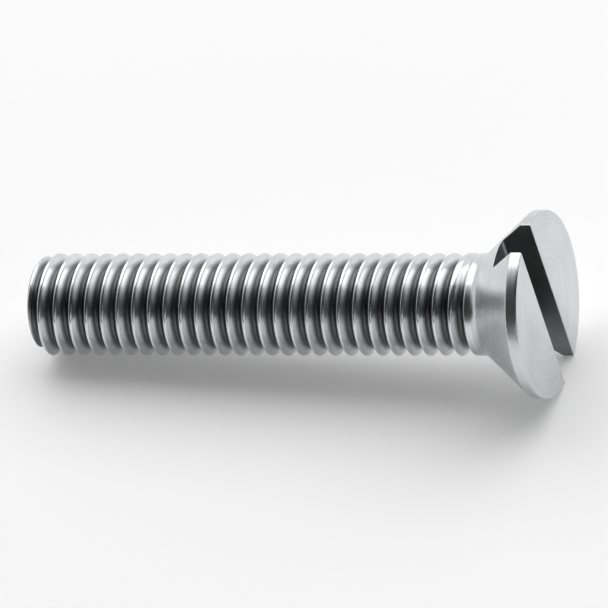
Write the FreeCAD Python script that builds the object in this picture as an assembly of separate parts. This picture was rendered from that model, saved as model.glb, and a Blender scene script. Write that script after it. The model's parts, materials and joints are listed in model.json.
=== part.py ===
import FreeCAD, Part
import math
import os

from FreeCAD import Vector

# A slotted flat head machine screw, 10-32 by 1 inch, lying on its side. All sizes are in millimetres.
# It is built upright: its end is at z = 0, its head is on top, the slot runs along x, and +x is the side
# that will face the floor. laid_down() then lays it on the two lips of its slot and the first full crest
# of its thread, where it doesn't roll.

INCH = 25.4

# Shank
overall_length = 1.0 * INCH
major_diameter = 0.190 * INCH
end_diameter = 4.10
end_chamfer_angle = 45.0

# Thread. Its hand is -1 for left, as the drawing shows it, and 1 for right. floor_crest_height is where the
# first crest crosses the floor side, above the screw's end.
threads_per_inch = 32
thread_hand = -1
flank_angle = 30.0
crest_flat_share = 1 / 8
root_flat_share = 3 / 16
floor_crest_height = 0.41
thread_to_neck = 0.45
runout_turns = 0.5

# Head
head_diameter = 8.86
head_angle = 82.0
land_height = 0.53
rim_chamfer = 0.08
neck_chamfer = 0.22

# Driver slot
slot_width = 1.80
slot_depth = 1.70
slot_corner_radius = 0.18

# How far a cutter reaches past what it cuts, and how many arcs the round walls are made in
overcut = 0.05
arcs_per_turn = 11

pitch = INCH / threads_per_inch
major_radius = major_diameter / 2
crest_flat = crest_flat_share * pitch
root_flat = root_flat_share * pitch
flank_slope = math.tan(math.radians(flank_angle))
flank_height = (pitch - crest_flat - root_flat) / 2
thread_depth = flank_height / flank_slope
root_radius = major_radius - thread_depth
arc_angle = 2 * math.pi / arcs_per_turn

end_radius = end_diameter / 2
chamfer_height = (major_radius - end_radius) / math.tan(math.radians(end_chamfer_angle))

head_radius = head_diameter / 2
cone_angle = math.radians(head_angle / 2)
land_bottom = overall_length - land_height
neck_height = land_bottom - (head_radius - major_radius) / math.tan(cone_angle)


def screw_blank():
    """The headed blank before its thread and slot: a shell turned from the screw's outline, one arc at a time.

    Turning it in arcs makes every piece of the shank's wall a short arc of the major cylinder.
    """
    outline = [
        (end_radius, 0),
        (major_radius, chamfer_height),
        (major_radius, neck_height - neck_chamfer),
        (major_radius + neck_chamfer * math.sin(cone_angle), neck_height + neck_chamfer * math.cos(cone_angle)),
        (head_radius, land_bottom),
        (head_radius, overall_length - rim_chamfer),
        (head_radius - rim_chamfer, overall_length),
    ]
    side = Part.makePolygon([Vector(radius, 0, height) for radius, height in outline])
    axis = Vector(0, 0, 1)
    degrees = math.degrees(arc_angle)
    wall = []
    for arc in range(arcs_per_turn):
        turned = side.copy()
        turned.rotate(Vector(), axis, arc * degrees)
        wall += turned.revolve(Vector(), axis, degrees).Faces
    for radius, height in (outline[0], outline[-1]):
        rim = [
            Part.makeCircle(radius, Vector(0, 0, height), axis, arc * degrees, (arc + 1) * degrees)
            for arc in range(arcs_per_turn)
        ]
        wall.append(Part.Face(Part.Wire(rim)))
    shell = Part.makeShell(wall)
    shell.sewShape()
    return Part.makeSolid(shell)


def polar(angle, radius, height):
    """A point from its angle about the screw's axis, its radius and its height."""
    return Vector(radius * math.cos(angle), radius * math.sin(angle), height)


def spiral_arc(start_angle, end_angle, start, end):
    """An arc that winds from start to end, two (radius, height) points, at an even rate.

    It is a cubic whose handles reach as a circular arc's do along the turn, and a third of the way
    outwards and upwards.
    """
    turn_reach = 4 / 3 * math.tan((end_angle - start_angle) / 4)
    poles = []
    for angle, (radius, height), way in ((start_angle, start, 1), (end_angle, end, -1)):
        tip = polar(angle, radius + way * (end[0] - start[0]) / 3, height + way * (end[1] - start[1]) / 3)
        handle = tip + polar(angle + math.pi / 2, way * turn_reach * radius, 0)
        poles += [polar(angle, radius, height), handle][::way]
    curve = Part.BezierCurve()
    curve.setPoles(poles)
    return curve.toShape()


def thread_groove():
    """The groove between the crests, wound from below the screw's end to just short of its neck.

    Its section is open outwards: falling flank, flat root and rising flank. Over the last arcs the whole
    section lifts out of the shank, so the groove runs out to nothing.
    """
    widening = overcut * flank_slope
    section = (
        (major_radius + overcut, crest_flat / 2 - widening),
        (root_radius, crest_flat / 2 + flank_height),
        (root_radius, crest_flat / 2 + flank_height + root_flat),
        (major_radius + overcut, pitch - crest_flat / 2 + widening),
    )
    first_height = floor_crest_height - 2 * pitch
    last_height = neck_height - thread_to_neck - pitch / 2
    arcs = int((last_height - first_height) / pitch * arcs_per_turn)
    runout_arcs = runout_turns * arcs_per_turn

    def placed(step):
        """The section's angle and its (radius, height) points after this many arcs."""
        lift = max(0, step - arcs + runout_arcs) * (thread_depth + overcut) / runout_arcs
        rise = first_height + step * pitch / arcs_per_turn
        return thread_hand * step * arc_angle, [(radius + lift, rise + height) for radius, height in section]

    faces = []
    for step in range(arcs):
        start_angle, starts = placed(step)
        end_angle, ends = placed(step + 1)
        spirals = [spiral_arc(start_angle, end_angle, *points) for points in zip(starts, ends)]
        faces += [Part.makeRuledSurface(*pair) for pair in zip(spirals, spirals[1:] + spirals[:1])]
    for step in (0, arcs):
        angle, points = placed(step)
        outline = [polar(angle, *point) for point in points]
        faces.append(Part.Face(Part.makePolygon(outline + outline[:1])))
    shell = Part.makeShell(faces)
    shell.sewShape()
    groove = Part.makeSolid(shell)
    if groove.Volume < 0:
        groove.reverse()
    return groove


def driver_slot():
    """The straight slot across the head, with small radii along the corners of its floor."""
    length = head_diameter + 2 * overcut
    corner = Vector(-length / 2, -slot_width / 2, overall_length - slot_depth)
    slot = Part.makeBox(length, slot_width, slot_depth + overcut, corner)
    floor_edges = [
        edge for edge in slot.Edges
        if edge.BoundBox.ZMax < overall_length - slot_depth / 2 and edge.BoundBox.XLength > slot_width
    ]
    return slot.makeFillet(slot_corner_radius, floor_edges)


def rest_tilt():
    """How far the laid screw's axis rises towards its head, in degrees.

    The floor touches the slot's lips at the edge where land and cone meet, and the first crest above the
    chamfer on the floor side.
    """
    lip_reach = math.sqrt(head_radius**2 - (slot_width / 2) ** 2)
    crest_height = floor_crest_height - crest_flat / 2
    while crest_height + crest_flat < chamfer_height:
        crest_height += pitch
    touch_height = max(crest_height, chamfer_height)
    return math.degrees(math.atan2(lip_reach - major_radius, land_bottom - touch_height))


def laid_down(screw):
    """The screw on its side on the floor, head towards +x, over the middle of its own outline."""
    screw.rotate(Vector(), Vector(0, 1, 0), 90 - rest_tilt())
    box = screw.optimalBoundingBox(False)
    screw.translate(Vector(-box.Center.x, -box.Center.y, -box.ZMin))
    return screw


machine_screw = laid_down(screw_blank().cut([thread_groove(), driver_slot()]))

os.makedirs("parts", exist_ok=True)
machine_screw.exportStep("parts/machine_screw.step")
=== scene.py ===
import json
import math

import bmesh
import bpy
import numpy as np
from bpy.props import FloatProperty, FloatVectorProperty, IntProperty, PointerProperty
from mathutils import Matrix, Vector


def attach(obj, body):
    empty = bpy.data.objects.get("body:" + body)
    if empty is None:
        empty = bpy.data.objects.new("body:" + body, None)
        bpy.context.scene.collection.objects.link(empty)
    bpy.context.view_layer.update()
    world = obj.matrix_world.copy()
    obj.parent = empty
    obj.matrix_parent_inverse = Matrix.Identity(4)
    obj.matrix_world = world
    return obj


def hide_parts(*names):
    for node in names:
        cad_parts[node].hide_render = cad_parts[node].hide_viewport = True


bl_info = {
    "name": "Flat Head Machine Screw",
    "version": (1, 0, 0),
    "blender": (4, 5, 0),
    "location": "3D View > Sidebar > Screw",
    "description": "A slotted flat head machine screw in plated steel, lying on a pale floor",
    "category": "Add Mesh",
}

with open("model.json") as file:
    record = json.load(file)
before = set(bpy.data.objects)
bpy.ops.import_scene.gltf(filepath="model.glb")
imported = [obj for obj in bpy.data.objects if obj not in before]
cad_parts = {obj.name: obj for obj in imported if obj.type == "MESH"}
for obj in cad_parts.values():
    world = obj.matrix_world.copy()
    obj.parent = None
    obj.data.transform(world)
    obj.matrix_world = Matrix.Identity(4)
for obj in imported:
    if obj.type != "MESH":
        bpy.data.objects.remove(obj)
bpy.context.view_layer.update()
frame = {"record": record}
MOUNTS = {mount["name"]: mount for mount in frame["record"]["mounts"]}

# The mesh's material slots
THREAD, HEAD, SLOT = range(3)

# The thread's flanks slant this far from square to the axis.
FLANK = math.radians(30)

# How many rows of faces each part of the surface has, and how many cells lie across half of the slot
FLANK_ROWS = 3
END_ROWS = 7
NECK_ROWS = 7
CONE_ROWS = 8
LAND_ROWS = 4
LAND_ARC_ROWS = 5
RIM_ARC_ROWS = 6
LIP_ROWS = 4
SLOT_FLOOR_CELLS = 2
SLOT_CORNER_CELLS = 3
SLOT_CELLS = SLOT_FLOOR_CELLS + SLOT_CORNER_CELLS

# Where the face's rows lie on the way from its edge to the slot's lip, close together at the edge
FACE_SHARES = np.concatenate([[0, 0.03], np.linspace(0.14, 1, 8)])

# Points nearer than the first are on one ring, and points nearer than the second are one point.
RING_TOLERANCE = 1e-7
WELD_DISTANCE = 2e-7


class ScrewSizes(bpy.types.PropertyGroup):
    """The screw's sizes and how finely its surface is divided."""

    overall_length: FloatProperty(
        name="Length", description="From end to face", default=0.0254, unit="LENGTH"
    )
    major_radius: FloatProperty(
        name="Thread radius", description="To the crests", default=MOUNTS["thread"]["dims"]["r_mm"] / 1000,
        unit="LENGTH",
    )
    root_radius: FloatProperty(
        name="Root radius", description="To the grooves", default=0.0019404, unit="LENGTH"
    )
    pitch: FloatProperty(
        name="Pitch", description="From crest to crest", default=0.00079375, unit="LENGTH"
    )
    hand: IntProperty(name="Hand", description="-1 for a left-hand thread, 1 for a right", default=-1)
    crest_height: FloatProperty(
        name="First crest", description="Height of the first crest on the floor side", default=0.00041,
        unit="LENGTH",
    )
    crest_flat: FloatProperty(
        name="Crest flat", description="Width of the crest between its corners", default=0.0000992,
        unit="LENGTH",
    )
    crest_round: FloatProperty(
        name="Crest rounding", description="Radius of the crest's corners", default=0.00005, unit="LENGTH"
    )
    root_round: FloatProperty(
        name="Root rounding", description="Radius of the groove's bottom", default=0.0001289, unit="LENGTH"
    )
    end_radius: FloatProperty(
        name="End radius", description="Of the flat end", default=0.00205, unit="LENGTH"
    )
    crease: FloatProperty(
        name="Crease", description="How far the chamfer's edges are rounded", default=0.00003, unit="LENGTH"
    )
    groove_turns: FloatProperty(name="Groove turns", description="Turns of the groove", default=28.82)
    runout_turns: FloatProperty(
        name="Runout", description="Turns over which the groove fades", default=0.5
    )
    head_radius: FloatProperty(
        name="Head radius", description="To the land", default=0.00443, unit="LENGTH"
    )
    head_angle: FloatProperty(
        name="Head angle", description="Between the cone's sides", default=math.radians(82), subtype="ANGLE"
    )
    land_height: FloatProperty(
        name="Land", description="Height of the head's edge", default=0.00053, unit="LENGTH"
    )
    land_round: FloatProperty(
        name="Land rounding", description="Radius where cone and land meet", default=0.00009, unit="LENGTH"
    )
    rim_round: FloatProperty(
        name="Rim rounding", description="Radius of the face's edge", default=0.00008, unit="LENGTH"
    )
    neck_round: FloatProperty(
        name="Neck rounding", description="Radius under the head", default=0.0006, unit="LENGTH"
    )
    slot_width: FloatProperty(
        name="Slot width", description="Of the driver slot", default=0.0018, unit="LENGTH"
    )
    slot_depth: FloatProperty(
        name="Slot depth", description="Of the driver slot", default=0.0017, unit="LENGTH"
    )
    slot_round: FloatProperty(
        name="Slot rounding", description="Radius of the floor's corners", default=0.00018, unit="LENGTH"
    )
    lip_round: FloatProperty(
        name="Lip rounding", description="Reach of the rounding on the slot's edges", default=0.000035,
        unit="LENGTH",
    )
    turn_steps: IntProperty(
        name="Turn steps", description="Columns in a turn, four times a whole number", default=112
    )


class ScrewFinish(bpy.types.PropertyGroup):
    """The plated steel's colours; the slot's and the head's colours, and the dark of the grooves, hold
    painted shade.
    """

    thread_color: FloatVectorProperty(
        name="Thread", description="Colour of the rolled thread", subtype="COLOR", default=(0.76, 0.77, 0.785)
    )
    # Painted shade: the head is the same plated steel as the thread, set darker so that its lit face and cone
    # stay below white and stand out from the floor.
    head_color_with_shade: FloatVectorProperty(
        name="Head", description="Colour of the head", subtype="COLOR", default=(0.68, 0.69, 0.705)
    )
    # Painted shade: the slot is the same plated steel as the head, set much darker to stand in for the shade
    # inside the recess.
    shaded_slot_color: FloatVectorProperty(
        name="Slot", description="Colour of the sawn slot", subtype="COLOR", default=(0.26, 0.265, 0.27)
    )
    # Colour of the dull plating, and the dark that painted shade mixes into the thread's grooves and the tool
    # marks' rings.
    stain_and_shade_color: FloatVectorProperty(
        name="Stain", description="Colour of the grooves and of dull plating", subtype="COLOR",
        default=(0.045, 0.045, 0.048),
    )


class ScrewStudio(bpy.types.PropertyGroup):
    """How the drawing shows the screw."""

    axis_to_viewer: FloatProperty(
        name="Towards viewer", description="How far the head points at the camera",
        default=math.radians(20.5), subtype="ANGLE",
    )
    slot_slant: FloatProperty(
        name="Slot slant", description="The slot's slant on the face, seen from above the head",
        default=math.radians(45), subtype="ANGLE",
    )
    picture_pixels: IntProperty(name="Picture", description="Width of the picture in pixels", default=608)
    pixels_per_mm: FloatProperty(name="Scale", description="Pixels for a millimetre", default=21.35)
    face_pixel_x: FloatProperty(
        name="Face x", description="Pixel column of the face's centre", default=548.0
    )
    face_pixel_y: FloatProperty(name="Face y", description="Pixel row of the face's centre", default=304.4)
    lens_length: FloatProperty(name="Lens", description="Focal length in millimetres", default=1000.0)


def settings():
    """The scene's sizes, finish and studio."""
    return bpy.context.scene.screw_sizes, bpy.context.scene.screw_finish, bpy.context.scene.screw_studio


def screw_frame():
    """The screw's own frame in the row's: z along it to the head, x to the floor, its end at the origin."""
    s = settings()[0]
    along = Vector(MOUNTS["driver_slot"]["axis"]).normalized()
    across = Vector((0, 1, 0))
    down = across.cross(along)
    end = Vector(MOUNTS["driver_slot"]["pos_m"]) - along * (s.overall_length - s.slot_depth)
    turn = Matrix((down, across, along)).transposed().to_4x4()
    return Matrix.Translation(end) @ turn


class Surface:
    """Patches of points and faces, gathered for one mesh."""

    def __init__(self):
        self.points, self.faces, self.finishes = [], [], []
        self.count = 0

    def add(self, points, faces, finish):
        """Adds points of shape (n, 3) and faces that count from this patch's first point."""
        self.points.append(points)
        self.faces.append(faces + self.count)
        self.finishes.append(np.full(len(faces), finish, np.int32))
        self.count += len(points)

    def add_grid(self, x, y, z, finish):
        """Adds a grid of points, one quad between each four neighbours.

        A row, a column or a number given for x, y or z is spread over the whole grid.
        """
        points = line(x, y, z)
        rows, columns = points.shape[:2]
        corner = np.arange(rows * columns).reshape(rows, columns)
        quads = np.stack([corner[:-1, :-1], corner[:-1, 1:], corner[1:, 1:], corner[1:, :-1]], axis=-1)
        self.add(points.reshape(-1, 3), quads.reshape(-1, 4), finish)


def line(x, y, z):
    """Points from their coordinates, which may be arrays or single numbers."""
    return np.stack(np.broadcast_arrays(x, y, z), axis=-1)


def soft_min(first, second, reach):
    """The lesser of two arrays, with their crossing rounded over reach.

    A share that runs from 0 to 1 across the crossing mixes the two, and the mix is lowered by reach times
    share times (1 - share).
    """
    share = np.clip(0.5 + 0.5 * (second - first) / reach, 0, 1)
    return second + (first - second) * share - reach * share * (1 - share)


def thread_arcs(s):
    """Distances from the groove's middle to the end of its arc, and to both ends of the crest's arc."""
    root_end = s.root_round * math.cos(FLANK)
    crest_start = s.pitch / 2 - s.crest_flat / 2 + s.crest_round * math.tan(FLANK)
    return root_end, crest_start - s.crest_round * math.cos(FLANK), crest_start


def thread_radius(height, s):
    """The thread's section: radius at a height above a crest's middle.

    From the groove's middle it is an arc of root_round, then a flank at 30 degrees to square, then an arc
    of crest_round and the flat crest.
    """
    root_end, flank_end, crest_start = thread_arcs(s)
    away = np.abs(np.mod(height, s.pitch) - s.pitch / 2)
    root = s.root_radius + s.root_round - np.sqrt(np.maximum(s.root_round**2 - away**2, 0))
    flank_start = s.root_radius + s.root_round * (1 - math.sin(FLANK))
    flank = flank_start + (away - root_end) / math.tan(FLANK)
    crest = s.major_radius - s.crest_round + np.sqrt(
        np.maximum(s.crest_round**2 - np.minimum(away - crest_start, 0) ** 2, 0)
    )
    return np.where(away < root_end, root, np.where(away < flank_end, flank, crest))


def section_heights(s):
    """Heights in one pitch, from crest to crest, close together round the crest's and groove's curves."""
    root_end, flank_end, crest_start = thread_arcs(s)
    bends = np.radians([20, 40])
    away = np.concatenate([
        [s.pitch / 2, crest_start],
        crest_start - s.crest_round * np.sin(bends),
        np.linspace(flank_end, root_end, FLANK_ROWS + 1),
        s.root_round * np.sin(bends[::-1]),
    ])
    falling = s.pitch / 2 - away
    rising = s.pitch / 2 + away[::-1]
    return np.concatenate([falling, [s.pitch / 2], rising[:-1]])


def winding_grid(s, top):
    """Heights and radii of the thread's grid: a row for each point of the section, a column for each angle.

    A point's height is its height in the section plus one pitch a turn, and its radius is the least of the
    section's, the crests' and the end's chamfer. Over its last turns the groove lifts by a tenth more than
    its depth, so that it ends clear of the crests.
    """
    section = section_heights(s)
    first = s.crest_height - 2 * s.pitch
    turns = math.ceil((top - first) / s.pitch) + 2
    rise = (np.arange(turns)[:, None] * s.pitch + section).reshape(-1, 1)
    turn = np.arange(s.turn_steps)[None, :] / s.turn_steps
    height = first + rise + turn * s.pitch
    travelled = np.repeat(np.arange(turns), len(section))[:, None] + turn

    full_lift = 1.1 * (s.major_radius - s.root_radius)
    lift = np.clip(travelled - s.groove_turns + s.runout_turns, 0, None) / s.runout_turns * full_lift
    least_crease = 1e-8
    groove = thread_radius(rise + 0 * turn, s) + lift
    radius = soft_min(groove, np.full_like(groove, s.major_radius), np.clip(lift, least_crease, s.crease))
    radius = soft_min(radius, s.end_radius + height, s.crease)
    end_radius = soft_min(
        thread_radius(-first - turn[0] * s.pitch, s), np.full_like(turn[0], s.end_radius), s.crease
    )
    return height, radius, end_radius, len(section)


def thread_patch(surface, s, top):
    """The shank: a grid that winds with the thread, cut off level at the end and at the neck.

    Rows that reach past the end or the neck are drawn back to one ring there. The last column joins the
    first one a turn further on.
    """
    height, radius, end_radius, rows_per_turn = winding_grid(s, top)
    angle = s.hand * 2 * math.pi * np.arange(s.turn_steps) / s.turn_steps
    below = height <= RING_TOLERANCE
    inside = ~below & (height < top - RING_TOLERANCE)
    number = np.cumsum(inside).reshape(inside.shape) - 1
    kept = int(inside.sum())
    end_ring = kept + np.arange(s.turn_steps)
    number = np.where(below, end_ring, np.where(inside, number, end_ring + s.turn_steps))
    around = np.broadcast_to(angle, height.shape)[inside]
    out = radius[inside]
    points = np.concatenate([
        line(out * np.cos(around), out * np.sin(around), height[inside]),
        line(end_radius * np.cos(angle), end_radius * np.sin(angle), 0),
        line(s.major_radius * np.cos(angle), s.major_radius * np.sin(angle), top),
    ])
    whole = np.concatenate([number[:-rows_per_turn], number[rows_per_turn:, :1]], axis=1)
    a, b, c, d = whole[:-1, :-1], whole[:-1, 1:], whole[1:, 1:], whole[1:, :-1]
    halves = np.concatenate([np.stack([a, b, c], axis=-1), np.stack([a, c, d], axis=-1)]).reshape(-1, 3)
    first, second, third = halves.T
    surface.add(points, halves[(first != second) & (second != third) & (third != first)], THREAD)

    shrink = np.linspace(1, 0, END_ROWS + 1)[:, None]
    closed_angle, closed_radius = np.append(angle, angle[0]), np.append(end_radius, end_radius[0])
    ring_x, ring_y = closed_radius * np.cos(closed_angle), closed_radius * np.sin(closed_angle)
    surface.add_grid(ring_x * shrink, ring_y * shrink, 0, HEAD)


def neck_height(s):
    """Height where the cone's straight side would meet the shank.

    It is below the land by what the cone gains in radius, over the tangent of half the head's angle.
    """
    land = s.overall_length - s.land_height
    return land - (s.head_radius - s.major_radius) / math.tan(s.head_angle / 2)


def cone_radius(height, s):
    """Radius of the cone's straight side: it grows with height by the tangent of half the head's angle."""
    return s.major_radius + (height - neck_height(s)) * math.tan(s.head_angle / 2)


def neck_outline(s):
    """Heights and radii of the rounding under the head: an arc from the shank to the cone."""
    bend = np.linspace(0, s.head_angle / 2, NECK_ROWS + 1)
    start = neck_height(s) - s.neck_round * math.tan(s.head_angle / 4)
    return start + s.neck_round * np.sin(bend), s.major_radius + s.neck_round * (1 - np.cos(bend))


def head_outline(s, slot_corner):
    """Heights and radii from the slot's floor corner up: the cone, an arc, the land, and the rim's arc.

    The third array is how far the outline has turned in over the rim, from 0 to a quarter turn.
    """
    land = s.overall_length - s.land_height
    tangent = s.land_round * math.tan(s.head_angle / 4)
    bend = np.linspace(s.head_angle / 2, 0, LAND_ARC_ROWS + 1)
    land_heights = land + tangent - s.land_round * np.sin(bend)
    land_radii = s.head_radius - s.land_round * (1 - np.cos(bend))
    cone_heights = np.linspace(slot_corner, land_heights[0], CONE_ROWS + 1)[:-1]
    rim = np.linspace(0, math.pi / 2, RIM_ARC_ROWS + 1)
    rim_heights = s.overall_length - s.rim_round * (1 - np.sin(rim))
    rim_radii = s.head_radius - s.rim_round * (1 - np.cos(rim))
    middle = np.linspace(land_heights[-1], rim_heights[0], LAND_ROWS + 1)[1:-1]
    heights = np.concatenate([cone_heights, land_heights, middle, rim_heights])
    radii = np.concatenate([
        cone_radius(cone_heights, s), land_radii, np.full(len(middle), s.head_radius), rim_radii
    ])
    lean = np.concatenate([np.zeros(len(heights) - len(rim)), rim])
    return heights, radii, lean


def slot_section(s):
    """Half of the slot's section, from the middle of its floor to the top of its corner's arc: y, z and bend.

    The bend is a quarter turn along the floor, and falls to nothing where the arc meets the wall.
    """
    half_width = s.slot_width / 2
    corner = np.linspace(math.pi / 2, 0, SLOT_CORNER_CELLS + 1)
    bend = np.concatenate([np.full(SLOT_FLOOR_CELLS, math.pi / 2), corner])
    y = np.concatenate([
        np.linspace(0, half_width - s.slot_round, SLOT_FLOOR_CELLS + 1)[:-1],
        half_width - s.slot_round * (1 - np.cos(corner)),
    ])
    z = s.overall_length - s.slot_depth + s.slot_round * (1 - np.sin(bend))
    return y, z, bend


def on_cone(y, z, s):
    """How far out along the slot a point of the cone lies, from its radius and y in a right triangle."""
    return np.sqrt(cone_radius(z, s) ** 2 - y**2)


def all_round(angle, height):
    """Angles and heights of a quarter of a ring, mirrored to the whole one."""
    angle = np.concatenate([angle, math.pi - angle[-2::-1]])
    height = np.concatenate([height, height[-2::-1]])
    return np.concatenate([angle, 2 * math.pi - angle[-2::-1]]), np.concatenate([height, height[-2::-1]])


def level_cells(s):
    """How many columns of a quarter turn the slot leaves to the land."""
    return s.turn_steps // 4 - SLOT_CELLS


def lower_cone_patches(surface, s, lip_y, lip_z):
    """The neck's rounding, and the cone up to a ring that dips round the two ends of the slot.

    Columns start at even angles and bend to follow the slot's edges, and rows share out the height between
    neck and ring.
    """
    lip_angle = np.arctan2(lip_y, on_cone(lip_y, lip_z, s))
    level_angle = np.linspace(lip_angle[-1], math.pi / 2, level_cells(s) + 1)[1:]
    ring_angle, ring_height = all_round(
        np.concatenate([lip_angle, level_angle]),
        np.concatenate([lip_z, np.full(len(level_angle), lip_z[-1])]),
    )
    even_angle = np.linspace(0, 2 * math.pi, s.turn_steps + 1)
    heights, radii = neck_outline(s)
    out = radii[:, None]
    surface.add_grid(out * np.cos(even_angle), out * np.sin(even_angle), heights[:, None], HEAD)

    share = np.linspace(0, 1, CONE_ROWS + 1)[:, None]
    around = even_angle + (ring_angle - even_angle) * share
    up = heights[-1] + (ring_height - heights[-1]) * share
    out = cone_radius(up, s)
    surface.add_grid(out * np.cos(around), out * np.sin(around), up, HEAD)
    return heights[0]


def lip_points(inner, corner, outer):
    """Rows of points over a lip: (1 - t)^2 inner + 2 t (1 - t) corner + t^2 outer, with t from 0 to 1.

    It is a parabola that leaves the inner and the outer surface without a crease.
    """
    t = np.linspace(0, 1, LIP_ROWS + 1)[:, None, None]
    return (1 - t) ** 2 * inner + 2 * t * (1 - t) * corner + t**2 * outer


def head_patches(surface, s):
    """The whole head with its slot. Gives back the height where the neck's rounding starts.

    Above the slot's floor the head is two mirrored halves: a surface of revolution between the slot's
    edges, a flat face, and a slot wall and floor whose sections are carried along x. A lip joins them along
    the slot's edge: over the floor's end, up beside the wall and along the face.
    """
    half_width = s.slot_width / 2
    section_y, section_z, bend = slot_section(s)
    lip_y = section_y + s.lip_round * np.cos(bend)
    lip_z = section_z - s.lip_round * np.sin(bend)
    neck_start = lower_cone_patches(surface, s, lip_y, lip_z)

    heights, radii, lean = head_outline(s, section_z[-1])
    edge = np.arcsin((half_width + s.lip_round) / radii)
    share = np.linspace(0, 1, 2 * level_cells(s) + 1)
    around = edge[:, None] + share * (math.pi - 2 * edge[:, None])
    out = radii[:, None]
    rim_x = radii[-1] * np.cos(around[-1])
    rim_y = radii[-1] * np.sin(around[-1])
    face_y = rim_y + (half_width + s.lip_round - rim_y) * FACE_SHARES[:, None]

    chord = rim_x / rim_x[0]
    edge_x = np.sqrt(radii**2 - half_width**2)
    wall_x = edge_x - s.lip_round * np.cos(lean)
    wall_z = heights - s.lip_round * np.sin(lean)
    section_x = on_cone(section_y, section_z, s)
    floor_x = section_x - s.lip_round

    to_middle = slice(len(chord) // 2 + 1)
    inner = np.concatenate([
        line(floor_x, section_y, section_z)[:-1],
        line(wall_x, half_width, wall_z)[:-1],
        line(wall_x[-1] * chord, half_width, wall_z[-1])[to_middle],
    ])
    corner = np.concatenate([
        line(section_x, section_y, section_z)[:-1],
        line(edge_x, half_width, heights)[:-1],
        line(edge_x[-1] * chord, half_width, s.overall_length)[to_middle],
    ])
    outer = np.concatenate([
        line(on_cone(lip_y, lip_z, s), lip_y, lip_z)[:-1],
        line(radii * np.cos(edge), radii * np.sin(edge), heights)[:-1],
        line(rim_x, face_y[-1], s.overall_length)[to_middle],
    ])
    lip = lip_points(inner, corner, outer)
    for side in (1, -1):
        surface.add_grid(out * np.cos(around), side * out * np.sin(around), heights[:, None], HEAD)
        surface.add_grid(rim_x, side * face_y, s.overall_length, HEAD)
        surface.add_grid(wall_x[:, None] * chord, side * half_width, wall_z[:, None], SLOT)
        surface.add_grid(floor_x[:, None] * chord, side * section_y[:, None], section_z[:, None], SLOT)
        for end in (1, -1):
            surface.add_grid(end * lip[..., 0], side * lip[..., 1], lip[..., 2], HEAD)
    return neck_start


def screw_mesh(name):
    """One closed mesh of all patches, welded at their seams, with the flat end's edge kept sharp."""
    s = settings()[0]
    surface = Surface()
    neck_start = head_patches(surface, s)
    thread_patch(surface, s, neck_start)
    place = np.array(screw_frame())
    points = np.concatenate(surface.points) @ place[:3, :3].T + place[:3, 3]
    faces = [face for patch in surface.faces for face in patch.tolist()]
    mesh = bpy.data.meshes.new(name)
    mesh.from_pydata(points.tolist(), [], faces)
    mesh.polygons.foreach_set("material_index", np.concatenate(surface.finishes))
    mesh.polygons.foreach_set("use_smooth", np.ones(len(faces), bool))

    form = bmesh.new()
    form.from_mesh(mesh)
    bmesh.ops.remove_doubles(form, verts=form.verts, dist=WELD_DISTANCE)
    bmesh.ops.dissolve_degenerate(form, edges=form.edges, dist=WELD_DISTANCE / 20)
    bmesh.ops.recalc_face_normals(form, faces=form.faces)
    sharp_angle = math.radians(25)
    for edge in form.edges:
        finishes = {face.material_index for face in edge.link_faces}
        edge.smooth = not (finishes == {HEAD, THREAD} and edge.calc_face_angle(0) > sharp_angle)
    form.to_mesh(mesh)
    form.free()
    return mesh


def node_group(name, inputs, outputs):
    """An empty shader node group with these sockets: {name: (type, default)} in and {name: type} out."""
    group = bpy.data.node_groups.new(name, "ShaderNodeTree")
    for socket, (kind, value) in inputs.items():
        made = group.interface.new_socket(socket, in_out="INPUT", socket_type=kind)
        if value is not None:
            made.default_value = value
    for socket, kind in outputs.items():
        group.interface.new_socket(socket, in_out="OUTPUT", socket_type=kind)
    return group, group.nodes.new("NodeGroupInput"), group.nodes.new("NodeGroupOutput")


def fill_sockets(tree, sockets, values):
    """Links each value that is a socket, and sets the others."""
    for socket, value in zip(sockets, values):
        if isinstance(value, bpy.types.NodeSocket):
            tree.links.new(value, socket)
        elif value is not None:
            socket.default_value = value


def math_node(tree, operation, first, second=None):
    """The result of an operation on one or two values, each a socket or a number."""
    node = tree.nodes.new("ShaderNodeMath")
    node.operation = operation
    fill_sockets(tree, node.inputs, (first, second))
    return node.outputs[0]


def noise_node(tree, vector, scale, detail, roughness=0.5):
    """Noise from 0 to 1 at a vector."""
    node = tree.nodes.new("ShaderNodeTexNoise")
    sockets = [node.inputs[name] for name in ("Vector", "Scale", "Detail", "Roughness")]
    fill_sockets(tree, sockets, (vector, scale, detail, roughness))
    return node.outputs["Fac"]


def remap(tree, value, low, high, new_low, new_high):
    """A smooth step from new_low at low to new_high at high."""
    node = tree.nodes.new("ShaderNodeMapRange")
    node.interpolation_type = "SMOOTHSTEP"
    sockets = [node.inputs[name] for name in ("Value", "From Min", "From Max", "To Min", "To Max")]
    fill_sockets(tree, sockets, (value, low, high, new_low, new_high))
    return node.outputs["Result"]


def mix_color(tree, share, first, second):
    """A mix of two colours, each a socket or three numbers."""
    node = tree.nodes.new("ShaderNodeMix")
    node.data_type = "RGBA"
    colors = [value if isinstance(value, bpy.types.NodeSocket) else (*value, 1) for value in (first, second)]
    fill_sockets(tree, (node.inputs["Factor"], node.inputs[6], node.inputs[7]), (share, *colors))
    return node.outputs[2]


def split_vector(tree, vector):
    """A vector's x, y and z."""
    node = tree.nodes.new("ShaderNodeSeparateXYZ")
    tree.links.new(vector, node.inputs[0])
    return node.outputs


def join_vector(tree, *values):
    """A vector of x, y and z, each a socket or a number."""
    node = tree.nodes.new("ShaderNodeCombineXYZ")
    fill_sockets(tree, node.inputs, values)
    return node.outputs[0]


def axis_distance(tree, x, y):
    """The square root of x squared plus y squared."""
    squares = (math_node(tree, "MULTIPLY", value, value) for value in (x, y))
    return math_node(tree, "SQRT", math_node(tree, "ADD", *squares))


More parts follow.
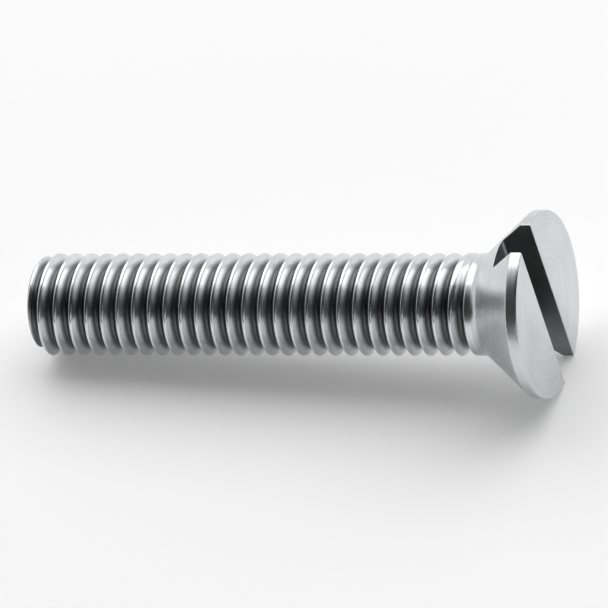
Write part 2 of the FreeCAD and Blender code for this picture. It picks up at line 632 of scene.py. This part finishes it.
def turned_marks_group():
    """Fine rings that a turning or rolling tool leaves round the screw's axis.

    They are noise that is stretched round the axis: its vector is the direction from the axis, drawn in
    small, and the distance along and away from the axis, drawn out large.
    """
    group, given, result = node_group(
        "Turned Marks",
        {"Position": ("NodeSocketVector", None), "Fineness": ("NodeSocketFloat", 8000.0)},
        {"Height": "NodeSocketFloat"},
    )
    least_divisor = 1e-5
    x, y, z = split_vector(group, given.outputs["Position"])
    away = axis_distance(group, x, y)
    along = math_node(group, "MULTIPLY", math_node(group, "ADD", z, away), given.outputs["Fineness"])
    divisor = math_node(group, "MAXIMUM", away, least_divisor)
    direction = (math_node(group, "DIVIDE", value, divisor) for value in (x, y))
    vector = join_vector(group, *direction, along)
    group.links.new(noise_node(group, vector, scale=1.6, detail=3), result.inputs["Height"])
    return group


def saw_marks_group():
    """Arcs that a slitting saw leaves along the slot: noise that is stretched along bowed lines."""
    group, given, result = node_group(
        "Saw Marks", {"Position": ("NodeSocketVector", None)}, {"Height": "NodeSocketFloat"}
    )
    saw_curve, along_scale, across_scale, level_scale = 25.0, 600.0, 18000.0, 26000.0
    x, y, z = split_vector(group, given.outputs["Position"])
    bow = math_node(group, "MULTIPLY", math_node(group, "MULTIPLY", x, x), saw_curve)
    vector = join_vector(
        group,
        math_node(group, "MULTIPLY", x, along_scale),
        math_node(group, "MULTIPLY", y, across_scale),
        math_node(group, "MULTIPLY", math_node(group, "ADD", z, bow), level_scale),
    )
    group.links.new(noise_node(group, vector, scale=1.0, detail=3), result.inputs["Height"])
    return group


def plating_group():
    """The plating's slow change of tone and its fine orange-peel grain."""
    group, given, result = node_group(
        "Plating",
        {"Position": ("NodeSocketVector", None)},
        {"Tone": "NodeSocketFloat", "Grain": "NodeSocketFloat"},
    )
    position = given.outputs["Position"]
    clouds = noise_node(group, position, scale=420, detail=2, roughness=0.45)
    tone = remap(group, clouds, low=0.2, high=0.8, new_low=0, new_high=1)
    group.links.new(tone, result.inputs["Tone"])
    group.links.new(noise_node(group, position, scale=14000, detail=2), result.inputs["Grain"])
    return group


def steel_material(name, color, groups, roughness, marks, mark_height, groove_shade=0.0):
    """Plated steel with tool marks, slow tone changes and, on the thread, grooves made duller and darkened
    with painted shade.

    Roughness is its range from bright to dull plating, marks names the group of the tool's marks, and
    groove_shade is how much painted shade darkens the grooves towards stain_and_shade_color.
    """
    tone_shade, ring_shade, groove_dullness, grain_share = 0.1, 0.09, 0.16, 0.35
    # How far below the crests the painted shade in the grooves has faded out.
    shadow_start = 0.00018
    s, finish, _ = settings()
    material = bpy.data.materials.new(name)
    material.use_nodes = True
    tree = material.node_tree
    shader = tree.nodes["Principled BSDF"]
    shader.inputs["Metallic"].default_value = 1.0
    where = tree.nodes.new("ShaderNodeTexCoord")
    own = tree.nodes.new("ShaderNodeMapping")
    inverse = screw_frame().inverted()
    own.inputs["Location"].default_value = inverse.to_translation()
    own.inputs["Rotation"].default_value = inverse.to_euler()
    tree.links.new(where.outputs["Object"], own.inputs["Vector"])
    position = own.outputs["Vector"]

    def placed(group):
        node = tree.nodes.new("ShaderNodeGroup")
        node.node_tree = group
        tree.links.new(position, node.inputs["Position"])
        return node.outputs

    tool_height = placed(groups[marks])["Height"]
    plating = placed(groups["plating"])
    # The plating's tone changes at random, which is its own colour; the tool marks' rings darken the colour a
    # little as painted shade of their troughs.
    rings = remap(tree, tool_height, low=0.35, high=0.65, new_low=0, new_high=1)
    tone_and_ring_darkening = math_node(
        tree, "ADD",
        math_node(tree, "MULTIPLY", plating["Tone"], tone_shade),
        math_node(tree, "MULTIPLY", rings, ring_shade),
    )
    shade = mix_color(tree, tone_and_ring_darkening, color, finish.stain_and_shade_color)
    gloss = remap(tree, plating["Tone"], 0, 1, *roughness)
    # Painted shade in the grooves: the nearer the surface lies to the root, the more its colour is mixed
    # towards stain_and_shade_color, standing in for the shade in the recesses. The grooves are also made
    # rougher.
    if groove_shade:
        x, y, _ = split_vector(tree, position)
        away = axis_distance(tree, x, y)
        groove = remap(tree, away, s.root_radius, s.major_radius - shadow_start, 1, 0)
        shade = mix_color(tree, math_node(tree, "MULTIPLY", groove, groove_shade), shade, finish.stain_and_shade_color)
        gloss = math_node(tree, "ADD", gloss, math_node(tree, "MULTIPLY", groove, groove_dullness))
    tree.links.new(shade, shader.inputs["Base Color"])
    tree.links.new(gloss, shader.inputs["Roughness"])
    grain = math_node(tree, "MULTIPLY", plating["Grain"], grain_share)
    bump = tree.nodes.new("ShaderNodeBump")
    bump.inputs["Strength"].default_value = 1.0
    bump.inputs["Distance"].default_value = mark_height
    tree.links.new(math_node(tree, "ADD", tool_height, grain), bump.inputs["Height"])
    tree.links.new(bump.outputs["Normal"], shader.inputs["Normal"])
    return material


class SCREW_OT_screw(bpy.types.Operator):
    """Makes the screw's fine surface in place of its plain one"""

    bl_idname = "screw.make_screw"
    bl_label = "Screw"

    def execute(self, context):
        finish = settings()[1]
        groups = {"turned": turned_marks_group(), "sawn": saw_marks_group(), "plating": plating_group()}
        materials = {
            # The thread's grooves get painted shade, groove_shade of the way to stain_and_shade_color at the
            # root.
            THREAD: steel_material(
                "rolled_thread", finish.thread_color, groups,
                roughness=(0.16, 0.27), marks="turned", mark_height=2.5e-7, groove_shade=0.9,
            ),
            # The head's colour is the thread's steel darkened by painted shade.
            HEAD: steel_material(
                "headed_steel", finish.head_color_with_shade, groups,
                roughness=(0.2, 0.3), marks="turned", mark_height=4.5e-6,
            ),
            # The slot's dark colour is painted shade of the recess; its saw marks and roughness are its own.
            SLOT: steel_material(
                "sawn_slot", finish.shaded_slot_color, groups,
                roughness=(0.3, 0.42), marks="sawn", mark_height=3e-6,
            ),
        }
        mesh = screw_mesh("screw_surface")
        for slot in sorted(materials):
            mesh.materials.append(materials[slot])
        screw = bpy.data.objects.new("screw_surface", mesh)
        context.scene.collection.objects.link(screw)
        even = screw.modifiers.new("Even shading", "WEIGHTED_NORMAL")
        even.keep_sharp = True
        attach(screw, "root")
        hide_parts("machine_screw")
        return {"FINISHED"}


def drawing_view():
    """The camera's right, up and back, so that the screw lies level and its slot slants as drawn.

    The camera looks square to the axis, slot_slant round it from the side away from the floor, and is then
    turned axis_to_viewer towards the head.
    """
    studio = settings()[2]
    place = screw_frame()
    down, across, along = (place.col[i].to_3d() for i in range(3))
    slant, lean = studio.slot_slant, studio.axis_to_viewer
    towards = -down * math.cos(slant) - across * math.sin(slant)
    up = -down * math.sin(slant) + across * math.cos(slant)
    right = along * math.cos(lean) - towards * math.sin(lean)
    back = along * math.sin(lean) + towards * math.cos(lean)
    return right, up, back


def drawing_camera(name, right, up, back):
    """A camera with a long lens, placed so that the face's centre is at its pixel of the drawing."""
    s, _, studio = settings()
    metres_per_pixel = 0.001 / studio.pixels_per_mm
    middle = studio.picture_pixels / 2
    target = screw_frame() @ Vector((0, 0, s.overall_length))
    target -= right * (studio.face_pixel_x - middle) * metres_per_pixel
    target += up * (studio.face_pixel_y - middle) * metres_per_pixel
    camera = bpy.data.cameras.new(name)
    camera.lens = studio.lens_length
    width = studio.picture_pixels * metres_per_pixel
    distance = width * camera.lens / camera.sensor_width
    clip_factor = 20
    camera.clip_start, camera.clip_end = distance / clip_factor, distance * clip_factor
    eye = bpy.data.objects.new(name, camera)
    turn = Matrix((right, up, back)).transposed().to_4x4()
    eye.matrix_world = Matrix.Translation(target + back * distance) @ turn
    return eye


def softbox(name, target, direction, distance, size, power):
    """A rectangular lamp that far from the target in that direction, facing it."""
    lamp = bpy.data.lights.new(name, "AREA")
    lamp.shape = "RECTANGLE"
    lamp.size, lamp.size_y = size
    lamp.energy = power
    made = bpy.data.objects.new(name, lamp)
    made.location = target + direction.normalized() * distance
    made.rotation_mode = "QUATERNION"
    made.rotation_quaternion = direction.to_track_quat("Z", "Y")
    return made


def floor_material():
    """Pale matt floor. Where the eye or a mirror sees it, it is lifted to white and keeps its shadows."""
    lift_to_white = 0.16
    material = bpy.data.materials.new("pale_floor")
    material.use_nodes = True
    tree = material.node_tree
    shader = tree.nodes["Principled BSDF"]
    shader.inputs["Base Color"].default_value = (0.86, 0.86, 0.86, 1)
    shader.inputs["Roughness"].default_value = 0.9
    shader.inputs["Specular IOR Level"].default_value = 0.0
    shader.inputs["Emission Color"].default_value = (1, 1, 1, 1)
    path = tree.nodes.new("ShaderNodeLightPath").outputs
    seen = math_node(tree, "MAXIMUM", path["Is Camera Ray"], path["Is Glossy Ray"])
    seen = math_node(tree, "MAXIMUM", seen, path["Is Transmission Ray"])
    tree.links.new(math_node(tree, "MULTIPLY", seen, lift_to_white), shader.inputs["Emission Strength"])
    return material


def floor_plane(name, reach):
    """A level square at height 0 that reaches this far each way."""
    mesh = bpy.data.meshes.new(name)
    corners = [(-reach, -reach, 0), (reach, -reach, 0), (reach, reach, 0), (-reach, reach, 0)]
    mesh.from_pydata(corners, [], [(0, 1, 2, 3)])
    mesh.materials.append(floor_material())
    return bpy.data.objects.new(name, mesh)


def studio_world(back):
    """A pale studio: white at the horizon and behind the screw, dark on the side it is seen from.

    The brightness is the greater of a band by the horizon and a wall that fades towards the front.
    """
    world = bpy.context.scene.world or bpy.data.worlds.new("studio")
    bpy.context.scene.world = world
    world.use_nodes = True
    tree = world.node_tree
    background = tree.nodes["Background"]
    where = tree.nodes.new("ShaderNodeTexCoord")
    direction = split_vector(tree, where.outputs["Generated"])
    level = math_node(tree, "ABSOLUTE", direction["Z"])
    horizon = remap(tree, level, low=0.02, high=0.06, new_low=0.95, new_high=0.0)
    front = back.to_2d().normalized()
    shares = (math_node(tree, "MULTIPLY", direction[axis], share) for axis, share in zip("XY", front))
    nearness = math_node(tree, "ADD", *shares)
    wall = remap(tree, nearness, low=-0.3, high=0.25, new_low=0.9, new_high=0.03)
    sky = math_node(tree, "MAXIMUM", horizon, wall)
    color = tree.nodes.new("ShaderNodeCombineColor")
    fill_sockets(tree, color.inputs, (sky, sky, sky))
    tree.links.new(color.outputs[0], background.inputs["Color"])
    background.inputs["Strength"].default_value = 1.0


class SCREW_OT_stage(bpy.types.Operator):
    """Makes the floor, the lamps and the camera"""

    bl_idname = "screw.make_stage"
    bl_label = "Stage"

    def execute(self, context):
        right, up, back = drawing_view()
        camera = drawing_camera("drawing_camera", right, up, back)
        floor = floor_plane("floor", reach=2.0)
        centre = screw_frame() @ Vector((0, 0, settings()[0].overall_length / 2))
        overhead = softbox(
            "overhead", centre, up + back * 0.3, distance=0.42, size=(0.8, 0.46), power=1.58
        )
        low_strip = softbox(
            "low_strip", centre, back - up * 0.55, distance=0.5, size=(0.6, 0.06), power=0.13
        )
        for made in (camera, floor, overhead, low_strip):
            context.scene.collection.objects.link(made)
        context.scene.camera = camera
        studio_world(back)
        context.scene.view_settings.view_transform = "Standard"
        return {"FINISHED"}


class SCREW_PT_panel(bpy.types.Panel):
    """The sizes, finish and studio of the screw"""

    bl_label = "Machine Screw"
    bl_idname = "SCREW_PT_panel"
    bl_space_type = "VIEW_3D"
    bl_region_type = "UI"
    bl_category = "Screw"

    def draw(self, context):
        for operator in (SCREW_OT_screw, SCREW_OT_stage):
            self.layout.operator(operator.bl_idname)
        for name in GROUPS:
            group = getattr(context.scene, name)
            box = self.layout.box()
            for size in group.__annotations__:
                box.prop(group, size)


GROUPS = {"screw_sizes": ScrewSizes, "screw_finish": ScrewFinish, "screw_studio": ScrewStudio}
CLASSES = (*GROUPS.values(), SCREW_OT_screw, SCREW_OT_stage, SCREW_PT_panel)


def register():
    for made in CLASSES:
        bpy.utils.register_class(made)
    for name, group in GROUPS.items():
        setattr(bpy.types.Scene, name, PointerProperty(type=group))


def unregister():
    for name in GROUPS:
        delattr(bpy.types.Scene, name)
    for made in reversed(CLASSES):
        bpy.utils.unregister_class(made)


def main():
    register()
    bpy.ops.screw.make_screw()
    bpy.ops.screw.make_stage()


if __name__ == "__main__":
    main()
